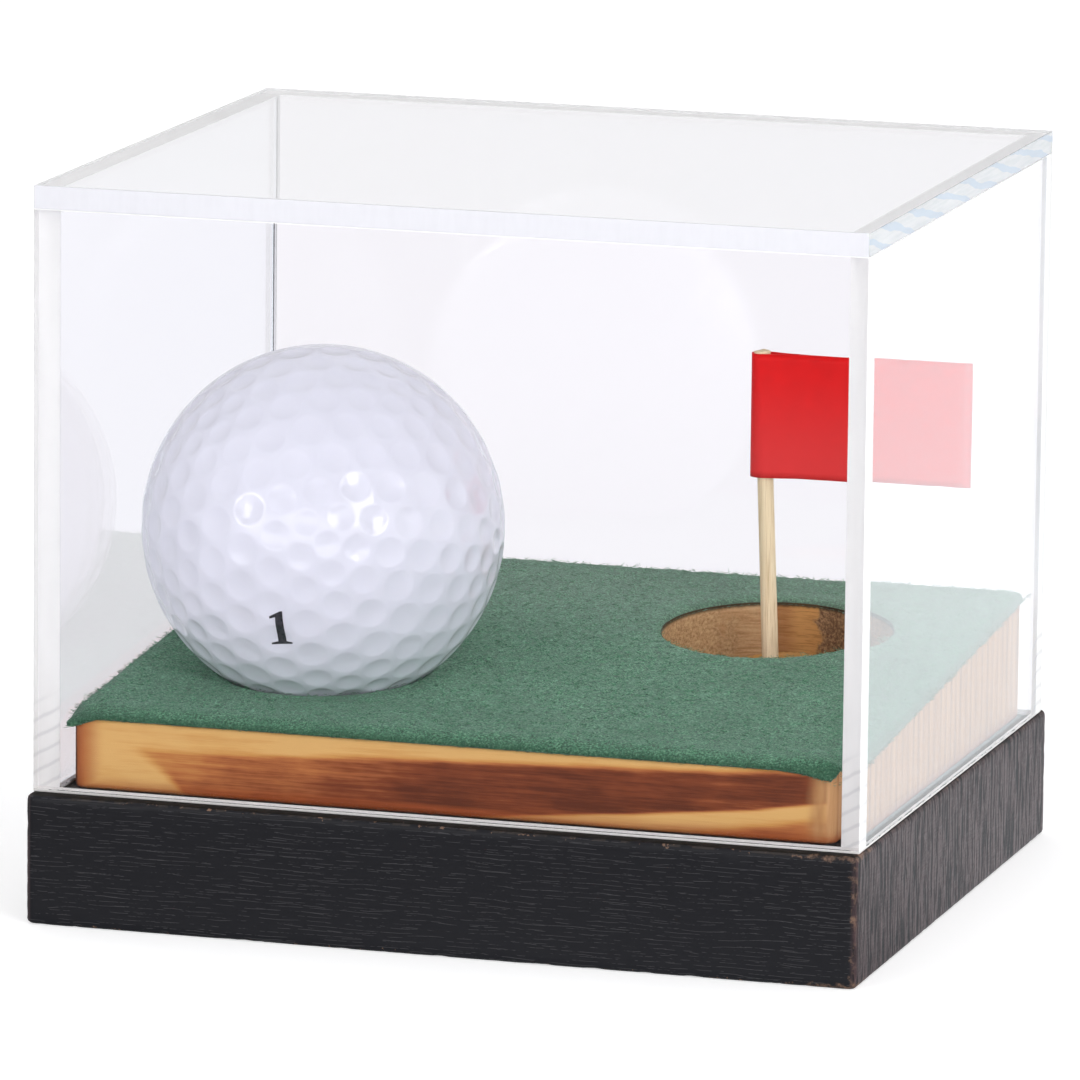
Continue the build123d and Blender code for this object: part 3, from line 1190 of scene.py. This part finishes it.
def dimple_centres():
    """Directions of the dimples: an icosahedron with each side cut in six."""
    bm = bmesh.new()
    bmesh.ops.create_icosphere(bm, subdivisions=1, radius=1)
    bmesh.ops.subdivide_edges(bm, edges=bm.edges, cuts=5, use_grid_fill=True)
    found = [v.co.normalized() for v in bm.verts]
    bm.free()
    found.sort(key=lambda way: (way - Vector((0.1, 0.2, 1))).length)
    land = (found[0] + found[1] + found[2]).normalized()
    lit = (toward(CAMERA_AZIMUTH, CAMERA_ELEVATION) + toward(*KEY_LAMP)).normalized()
    turn = Matrix.Rotation(0.5, 3, lit) @ land.rotation_difference(lit).to_matrix()
    return [turn @ way for way in found]


class CASE_OT_ball(bpy.types.Operator):
    """Golf ball with pressed dimples and a plain play number"""

    bl_idname = "case.ball"
    bl_label = "Ball"

    def execute(self, context):
        centres = dimple_centres()
        tree = KDTree(len(centres))
        for index, centre in enumerate(centres):
            tree.insert(centre, index)
        tree.balance()
        reach = [0.445 * tree.find_n(centre, 2)[1][2] for centre in centres]
        bm = bmesh.new()
        bmesh.ops.create_cube(bm, size=2)
        bmesh.ops.subdivide_edges(bm, edges=bm.edges, cuts=127, use_grid_fill=True)
        depth = sizes().dimple_depth
        half_step = math.pi / 4 / 128
        for vert in bm.verts:
            way = Vector(math.tan(c * math.pi / 4) for c in vert.co).normalized()
            centre, index, away = tree.find(way)
            if abs(away - reach[index]) < half_step:
                way = (centre + (way - centre) * reach[index] / away).normalized()
                away = reach[index]
            inside = max(0.0, 1 - (away / reach[index]) ** 2)
            vert.co = ball_centre + way * (ball_radius - depth * inside)
        bmesh.ops.recalc_face_normals(bm, faces=bm.faces)
        piece = object_from("ball_skin", bm, [ball_finish()])
        settle(piece, "ball", ["golf_ball_skin"])
        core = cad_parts["golf_ball_core"]
        core.data.materials.clear()
        core.data.materials.append(core_finish())
        self.add_number(piece)
        return {"FINISHED"}

    def add_number(self, ball):
        """Prints a plain 1 on the ball's lower front."""
        outline = (
            (-1.15, -2.25), (1.15, -2.25), (1.15, -2.02), (0.52, -1.88), (0.46, 2.3),
            (0.2, 2.3), (-1.0, 1.78), (-0.98, 1.52), (-0.36, 1.62), (-0.40, -1.88),
            (-1.15, -2.02),
        )
        bm = bmesh.new()
        bm.faces.new([bm.verts.new(((1.12 * x + 0.05 * y) * MM, (y + 0.09 * x) * MM, 0)) for x, y in outline])
        for axis in (0, 1):
            for step in range(-12, 13):
                middle = [0, 0, 0]
                middle[axis] = (step + 0.5) * 0.2 * MM
                normal = [0, 0, 0]
                normal[axis] = 1
                geometry = bm.verts[:] + bm.edges[:] + bm.faces[:]
                bmesh.ops.bisect_plane(
                    bm, geom=geometry, plane_co=middle, plane_no=normal, dist=0.001 * MM
                )
        bmesh.ops.triangulate(bm, faces=bm.faces)
        camera_back, camera_right, camera_up = view_axes()
        out = (camera_right * -0.2186 + camera_up * -0.5617 + camera_back * 0.798).normalized()
        right = camera_up.cross(out).normalized()
        up = out.cross(right)
        turn = Matrix((right, up, out)).transposed().to_4x4()
        spin = Matrix.Rotation(math.radians(0), 4, "Z")
        bmesh.ops.transform(
            bm,
            matrix=Matrix.Translation(ball_centre + out * ball_radius * 1.1) @ turn @ spin,
            verts=bm.verts,
        )
        skin = BVHTree.FromObject(ball, bpy.context.evaluated_depsgraph_get())
        for vert in bm.verts:
            hit, normal, _, _ = skin.ray_cast(vert.co, -out)
            vert.co = hit + normal * 0.03 * MM
        bmesh.ops.recalc_face_normals(bm, faces=bm.faces)
        if sum((f.normal for f in bm.faces), Vector()).dot(out) < 0:
            bmesh.ops.reverse_faces(bm, faces=bm.faces)
        bmesh.ops.solidify(bm, geom=bm.faces[:], thickness=0.05 * MM)
        piece = object_from("ball_number", bm, [ink_finish()])
        settle(piece, "ball")


class CASE_OT_flag(bpy.types.Operator):
    """Bamboo stick and the folded paper flag round its top"""

    bl_idname = "case.flag"
    bl_label = "Stick and flag"

    def execute(self, context):
        self.add_stick()
        self.add_flag()
        return {"FINISHED"}

    def add_stick(self):
        """A split bamboo stick, fluted by its fibres, with rough ends."""
        stick = stick_frame()
        length = (stick_high.z - stick_low.z) / math.cos(stick.to_euler().y) - 0.08 * MM
        bm = bmesh.new()
        rod(bm, stick_radius, 0.0, length, Matrix.Identity(4), 24)
        upright = edges_along(bm, 2, 5 * MM)
        bmesh.ops.subdivide_edges(bm, edges=upright, cuts=60, use_grid_fill=True)
        ends = [e for f in bm.faces if abs(f.normal.z) > 0.9 for e in f.edges]
        round_edges(bm, list(set(ends)), 0.12 * MM, 2)
        for vert in bm.verts:
            around = math.atan2(vert.co.y, vert.co.x)
            flute = noise.noise(
                Vector((math.cos(around) * 2.2, math.sin(around) * 2.2, vert.co.z / (22 * MM)))
            )
            square = 0.03 * math.cos(4 * around)
            vert.co.x *= 0.97 + 0.045 * flute + square
            vert.co.y *= 0.97 + 0.045 * flute + square
            if vert.co.z > length - 0.2 * MM:
                vert.co.z += 0.25 * MM * (noise.noise(vert.co / (0.5 * MM)) - 0.3)
        bmesh.ops.transform(bm, matrix=stick, verts=bm.verts)
        lean = stick.to_euler().y
        piece = object_from("bamboo_stick", bm, [bamboo_finish(lean)])
        settle(piece, "base", ["flag_stick"])

    def add_flag(self):
        """Two leaves of paper, glued together and folded round the stick."""
        stick = stick_frame()
        paper = sizes().paper
        wrap = stick_radius + 0.03 * MM + paper / 2
        join_at = 8 * MM
        tangent = math.acos(wrap / join_at)
        bm = bmesh.new()
        start_x, start_y = wrap * math.cos(tangent), wrap * math.sin(tangent)
        start = bm.verts.new((start_x, start_y, 0))
        bmesh.ops.spin(
            bm,
            geom=[start],
            cent=(0, 0, 0),
            axis=(0, 0, 1),
            angle=2 * (math.pi - tangent),
            steps=20,
        )
        bm.verts.ensure_lookup_table()
        ends = sorted(bm.verts, key=lambda v: v.co.x)[-2:]
        reach = flag_high.x - flag_low.x - wrap
        for end in ends:
            side = math.copysign(paper / 2 + 0.002 * MM, end.co.y)
            last = end
            for x in (join_at, reach):
                nxt = bm.verts.new((x, side, 0))
                bm.edges.new((last, nxt))
                last = nxt
        leaves = [e for e in bm.edges if e.calc_length() > 2 * MM]
        bmesh.ops.subdivide_edges(bm, edges=leaves, cuts=14)
        rows = 18
        height = flag_high.z - flag_low.z
        edges = list(bm.edges)
        for _ in range(rows):
            grown = bmesh.ops.extrude_edge_only(bm, edges=edges)["geom"]
            edges = [g for g in grown if isinstance(g, bmesh.types.BMEdge)]
            verts = [g for g in grown if isinstance(g, bmesh.types.BMVert)]
            bmesh.ops.translate(bm, verts=verts, vec=(0, 0, height / rows))
        foot = stick.translation
        slant = math.tan(stick.to_euler().y)
        for vert in bm.verts:
            z = flag_low.z + vert.co.z
            middle = foot.x + slant * (z - foot.z)
            room = middle - (flag_low.x + paper / 2)
            along = vert.co.x / reach
            if vert.co.x < 0:
                x = middle + vert.co.x * room / wrap
            else:
                x = middle + (flag_high.x - 0.1 * MM - middle) * min(1.0, along)
                left = 1 - (vert.co.x - start_x) / (join_at - start_x)
                if 0 < left < 1:
                    bulge = (start_y - paper / 2) * left * left + paper / 2
                    vert.co.y = math.copysign(bulge, vert.co.y)
            curl = 0.25 * MM * max(0.0, along) ** 2 * math.sin(vert.co.z / height * 2.2 + 0.4)
            wave = 0.08 * MM * noise.noise(Vector((vert.co.x, 0, vert.co.z)) / (7 * MM))
            edge = 0.05 * MM * noise.noise(Vector((x, 3, vert.co.z)) / (2.5 * MM))
            vert.co = Vector((x, foot.y + vert.co.y + (curl + wave) * max(0.0, along), z + edge))
        bmesh.ops.recalc_face_normals(bm, faces=bm.faces)
        piece = object_from("flag_paper", bm, [paper_finish()])
        thick = piece.modifiers.new("paper", "SOLIDIFY")
        thick.thickness = paper * 0.96
        thick.offset = 0
        bpy.context.view_layer.update()
        applied(piece)
        settle(piece, "base", ["flag"])


class CASE_OT_cover(bpy.types.Operator):
    """Clear lift-off cover: five polished sheets, cemented at their edges"""

    bl_idname = "case.cover"
    bl_label = "Clear cover"

    def execute(self, context):
        finishes = [
            acrylic_finish(),
            sawn_finish(),
            cement_finish("cemented_acrylic", (1.0, 0.995, 0.99)),
            edge_finish(),
            # The top sheet's front edge: its lavender-grey tone is a painted reflection.
            cement_finish("front_edge_acrylic", (0.785, 0.785, 0.84)),
        ]
        lap = 0.02 * MM
        laps = {
            "cover_top": Vector((0, 0, lap)),
            "cover_front": Vector((0, 0, 0)),
            "cover_back": Vector((0, 0, 0)),
            "cover_left": Vector((0, lap, 0)),
            "cover_right": Vector((0, lap, 0)),
        }
        for node, grow in laps.items():
            low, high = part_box(node)
            low = low - grow
            high = high + (Vector((0, grow.y, 0)))
            bm = block_between(low, high)
            size = high - low
            thin = min(range(3), key=lambda axis: size[axis])
            if node == "cover_top":
                round_edges(bm, list(bm.edges), sizes().sheet_edge, 2)
            else:
                middle = (low.z + high.z) / 2
                foot = [e for e in bm.edges if all(v.co.z < middle for v in e.verts)]
                rest = [e for e in bm.edges if e not in foot]
                bmesh.ops.bevel(
                    bm, geom=foot + rest, offset=sizes().sheet_edge, offset_type="OFFSET",
                    affect="EDGES", segments=2, profile=0.5, material=-1,
                )
                for vert in bm.verts:
                    over = (vert.co.z - low.z) / sizes().sheet_edge
                    if over < 1.01:
                        vert.co.z = low.z + over * sizes().foot_chamfer
            bm.normal_update()
            for face in bm.faces:
                centre = face.calc_center_median()
                if node == "cover_top":
                    if abs(face.normal.x) > 0.1 or face.normal.y > 0.1:
                        face.material_index = 3
                    elif face.normal.y < -0.1:
                        face.material_index = 4
                elif centre.z < low.z + sizes().foot_chamfer:
                    face.material_index = 1
                elif abs(face.normal[thin]) < 0.99:
                    # the corner at the back left is cleaner, and hardly shows
                    face.material_index = 0 if centre.x < 0 < centre.y else 2
            piece = object_from(node.replace("cover", "sheet"), bm, finishes, 2e-4)
            settle(piece, "cover", [node])
        return {"FINISHED"}


# ---- stage ----

CAMERA_AZIMUTH = math.radians(16.89)
CAMERA_ELEVATION = math.radians(10.82)
CAMERA_ROLL = math.radians(0.62)
CAMERA_TARGET = Vector((-1.25, 0, 40.77)) * MM
CAMERA_DISTANCE = 1165.62 * MM
CAMERA_LENS_MM = 328.46
KEY_LAMP = (math.radians(42), math.radians(21))
FILL_LAMP = (math.radians(-30), math.radians(17))
FRONT_LAMP = (math.radians(2), math.radians(6))
SIDE_LAMP = (math.radians(85), math.radians(15))
BACK_LAMP = (math.radians(200), math.radians(45))


def toward(azimuth, elevation):
    """Unit vector from the object, turned to the right of the front and raised."""
    return Vector(
        (
            math.sin(azimuth) * math.cos(elevation),
            -math.cos(azimuth) * math.cos(elevation),
            math.sin(elevation),
        )
    )


def view_axes():
    """Back, right and up of the photograph's camera."""
    back = toward(CAMERA_AZIMUTH, CAMERA_ELEVATION)
    level = Vector((math.cos(CAMERA_AZIMUTH), math.sin(CAMERA_AZIMUTH), 0))
    upright = back.cross(level)
    right = level * math.cos(CAMERA_ROLL) + upright * math.sin(CAMERA_ROLL)
    up = upright * math.cos(CAMERA_ROLL) - level * math.sin(CAMERA_ROLL)
    return back, right, up


def soft_lamp(name, place, distance, width, height, brightness):
    """A rectangular soft lamp of that brightness, aimed at the middle of the case."""
    lamp = bpy.data.lights.new(name, "AREA")
    lamp.shape = "RECTANGLE"
    lamp.size = width
    lamp.size_y = height
    lamp.energy = brightness * math.pi * width * height
    made = bpy.data.objects.new(name, lamp)
    bpy.context.scene.collection.objects.link(made)
    back = toward(*place)
    made.location = CAMERA_TARGET + back * distance
    made.rotation_euler = back.to_track_quat("Z", "Y").to_euler()
    return made


class CASE_OT_stage(bpy.types.Operator):
    """Camera, soft lamps, pale floor and white background"""

    bl_idname = "case.stage"
    bl_label = "Stage"

    def execute(self, context):
        scene = context.scene
        scene.view_settings.view_transform = "Standard"
        camera_data = bpy.data.cameras.new("camera")
        camera_data.lens = CAMERA_LENS_MM
        camera_data.sensor_width = 36
        camera_data.clip_start = 0.1
        camera_data.clip_end = 20
        camera = bpy.data.objects.new("camera", camera_data)
        scene.collection.objects.link(camera)
        back, right, up = view_axes()
        turn = Matrix((right, up, back)).transposed().to_4x4()
        place = Matrix.Translation(CAMERA_TARGET + back * CAMERA_DISTANCE)
        camera.matrix_world = place @ turn
        scene.camera = camera
        scene.cycles.max_bounces = 24
        scene.cycles.glossy_bounces = 16
        scene.cycles.transmission_bounces = 24
        soft_lamp("key_lamp", KEY_LAMP, 0.8, 0.21, 0.30, 7.2)
        soft_lamp("fill_lamp", FILL_LAMP, 0.8, 0.13, 0.20, 5.5)
        soft_lamp("front_lamp", FRONT_LAMP, 1.6, 2.4, 0.6, 1.65)
        soft_lamp("side_lamp", SIDE_LAMP, 1.2, 1.2, 0.8, 1.25)
        soft_lamp("back_lamp", BACK_LAMP, 1.2, 1.2, 0.8, 0.45)
        self.add_floor()
        self.add_world(scene)
        return {"FINISHED"}

    def add_floor(self):
        """Pale floor that keeps the case's shadow, and is brighter behind it in gloss."""
        bm = bmesh.new()
        bmesh.ops.create_grid(bm, x_segments=8, y_segments=8, size=4.0)
        finish = Finish("pale_floor")
        cloud = finish.noise(finish.object_place, 3.0, 2.0)
        finish.set(
            Base_Color=finish.ramp(cloud, (0.3, (0.84, 0.84, 0.85)), (0.7, (0.86, 0.86, 0.87))),
            Roughness=0.9,
            Specular_IOR_Level=0.0,
        )
        x, y, _ = finish.parts(finish.object_place)
        path = finish.node("LightPath").outputs
        direct = finish.math("LESS_THAN", path["Diffuse Depth"], 0.5)
        behind = finish.times(path["Is Transmission Ray"], 0.05)
        seen = finish.math("MAXIMUM", finish.times(path["Is Camera Ray"], 0.46), behind)
        lift = finish.node("Emission")
        finish.join(finish.times(seen, direct), lift.inputs["Strength"])
        lifted = finish.node("AddShader")
        finish.join(finish.surface.outputs[0], lifted.inputs[0])
        finish.join(lift.outputs[0], lifted.inputs[1])
        gloss = finish.node("Emission")
        mirrored = finish.math("GREATER_THAN", path["Glossy Depth"], 0.5)
        glare = finish.times(
            finish.ease(y, -0.12, 0.05, 0.05, 1.36),
            finish.ease(finish.sum(x, finish.times(y, -0.29)), -0.02, 0.03, 0.72, 1.0),
        )
        finish.join(finish.ease(mirrored, 0.0, 1.0, 1.14, glare), gloss.inputs["Strength"])
        tint = finish.mix(mirrored, (1.0, 0.995, 1.0), (0.95, 1.0, 1.03))
        finish.join(tint, gloss.inputs["Color"])
        mixer = finish.node("MixShader")
        finish.join(finish.times(path["Is Glossy Ray"], direct), mixer.inputs[0])
        finish.join(lifted.outputs[0], mixer.inputs[1])
        finish.join(gloss.outputs[0], mixer.inputs[2])
        finish.join(mixer.outputs[0], finish.output.inputs["Surface"])
        floor = object_from("floor", bm, [finish.material])

    def add_world(self, scene):
        """White to look at and in gloss, with a plain level of light on the case."""
        world = bpy.data.worlds.new("studio")
        scene.world = world
        world.use_nodes = True
        tree = world.node_tree
        tree.nodes.clear()
        path = tree.nodes.new("ShaderNodeLightPath").outputs
        shown = path["Is Camera Ray"]
        for kind in ("Is Transmission Ray", "Is Glossy Ray"):
            either = tree.nodes.new("ShaderNodeMath")
            either.operation = "MAXIMUM"
            tree.links.new(shown, either.inputs[0])
            tree.links.new(path[kind], either.inputs[1])
            shown = either.outputs[0]
        direct = tree.nodes.new("ShaderNodeMath")
        direct.operation = "LESS_THAN"
        tree.links.new(path["Diffuse Depth"], direct.inputs[0])
        direct.inputs[1].default_value = 0.5
        white = tree.nodes.new("ShaderNodeMath")
        white.operation = "MULTIPLY"
        tree.links.new(shown, white.inputs[0])
        tree.links.new(direct.outputs[0], white.inputs[1])
        height = tree.nodes.new("ShaderNodeSeparateXYZ")
        tree.links.new(tree.nodes.new("ShaderNodeTexCoord").outputs["Generated"], height.inputs[0])
        soft = tree.nodes.new("ShaderNodeMapRange")
        tree.links.new(height.outputs["Z"], soft.inputs["Value"])
        soft.inputs["To Min"].default_value = 1.1
        soft.inputs["To Max"].default_value = 0.38
        level = tree.nodes.new("ShaderNodeMapRange")
        tree.links.new(white.outputs[0], level.inputs["Value"])
        tree.links.new(soft.outputs[0], level.inputs["To Min"])
        dimmed = tree.nodes.new("ShaderNodeMapRange")
        tree.links.new(path["Glossy Depth"], dimmed.inputs["Value"])
        dimmed.inputs["To Min"].default_value = 1.0
        dimmed.inputs["To Max"].default_value = 0.88
        tree.links.new(dimmed.outputs[0], level.inputs["To Max"])
        sky = tree.nodes.new("ShaderNodeBackground")
        sky.inputs["Color"].default_value = (1, 1, 1, 1)
        tree.links.new(level.outputs[0], sky.inputs["Strength"])
        output = tree.nodes.new("ShaderNodeOutputWorld")
        tree.links.new(sky.outputs[0], output.inputs["Surface"])


class CASE_PT_panel(bpy.types.Panel):
    """Buttons that build the case's pieces, with their sizes and colours"""

    bl_idname = "CASE_PT_panel"
    bl_label = "Display case"
    bl_space_type = "VIEW_3D"
    bl_region_type = "UI"
    bl_category = "Display case"

    def draw(self, context):
        for operator in OPERATORS:
            self.layout.operator(operator.bl_idname)
        for group in (context.scene.case_sizes, context.scene.case_colours):
            for name in group.__annotations__:
                self.layout.prop(group, name)


OPERATORS = (
    CASE_OT_stage,
    CASE_OT_plinth,
    CASE_OT_block,
    CASE_OT_felt,
    CASE_OT_ball,
    CASE_OT_flag,
    CASE_OT_cover,
)
CLASSES = (CaseSizes, CaseColours, *OPERATORS, CASE_PT_panel)


def register():
    """Adds the classes and the scene's settings."""
    for cls in CLASSES:
        bpy.utils.register_class(cls)
    bpy.types.Scene.case_sizes = bpy.props.PointerProperty(type=CaseSizes)
    bpy.types.Scene.case_colours = bpy.props.PointerProperty(type=CaseColours)


def unregister():
    """Removes what register added."""
    del bpy.types.Scene.case_colours
    del bpy.types.Scene.case_sizes
    for cls in reversed(CLASSES):
        bpy.utils.unregister_class(cls)


def main():
    """Registers the classes and builds every piece."""
    register()
    bpy.ops.case.stage()
    bpy.ops.case.plinth()
    bpy.ops.case.block()
    bpy.ops.case.felt()
    bpy.ops.case.ball()
    bpy.ops.case.flag()
    bpy.ops.case.cover()


if __name__ == "__main__":
    main()
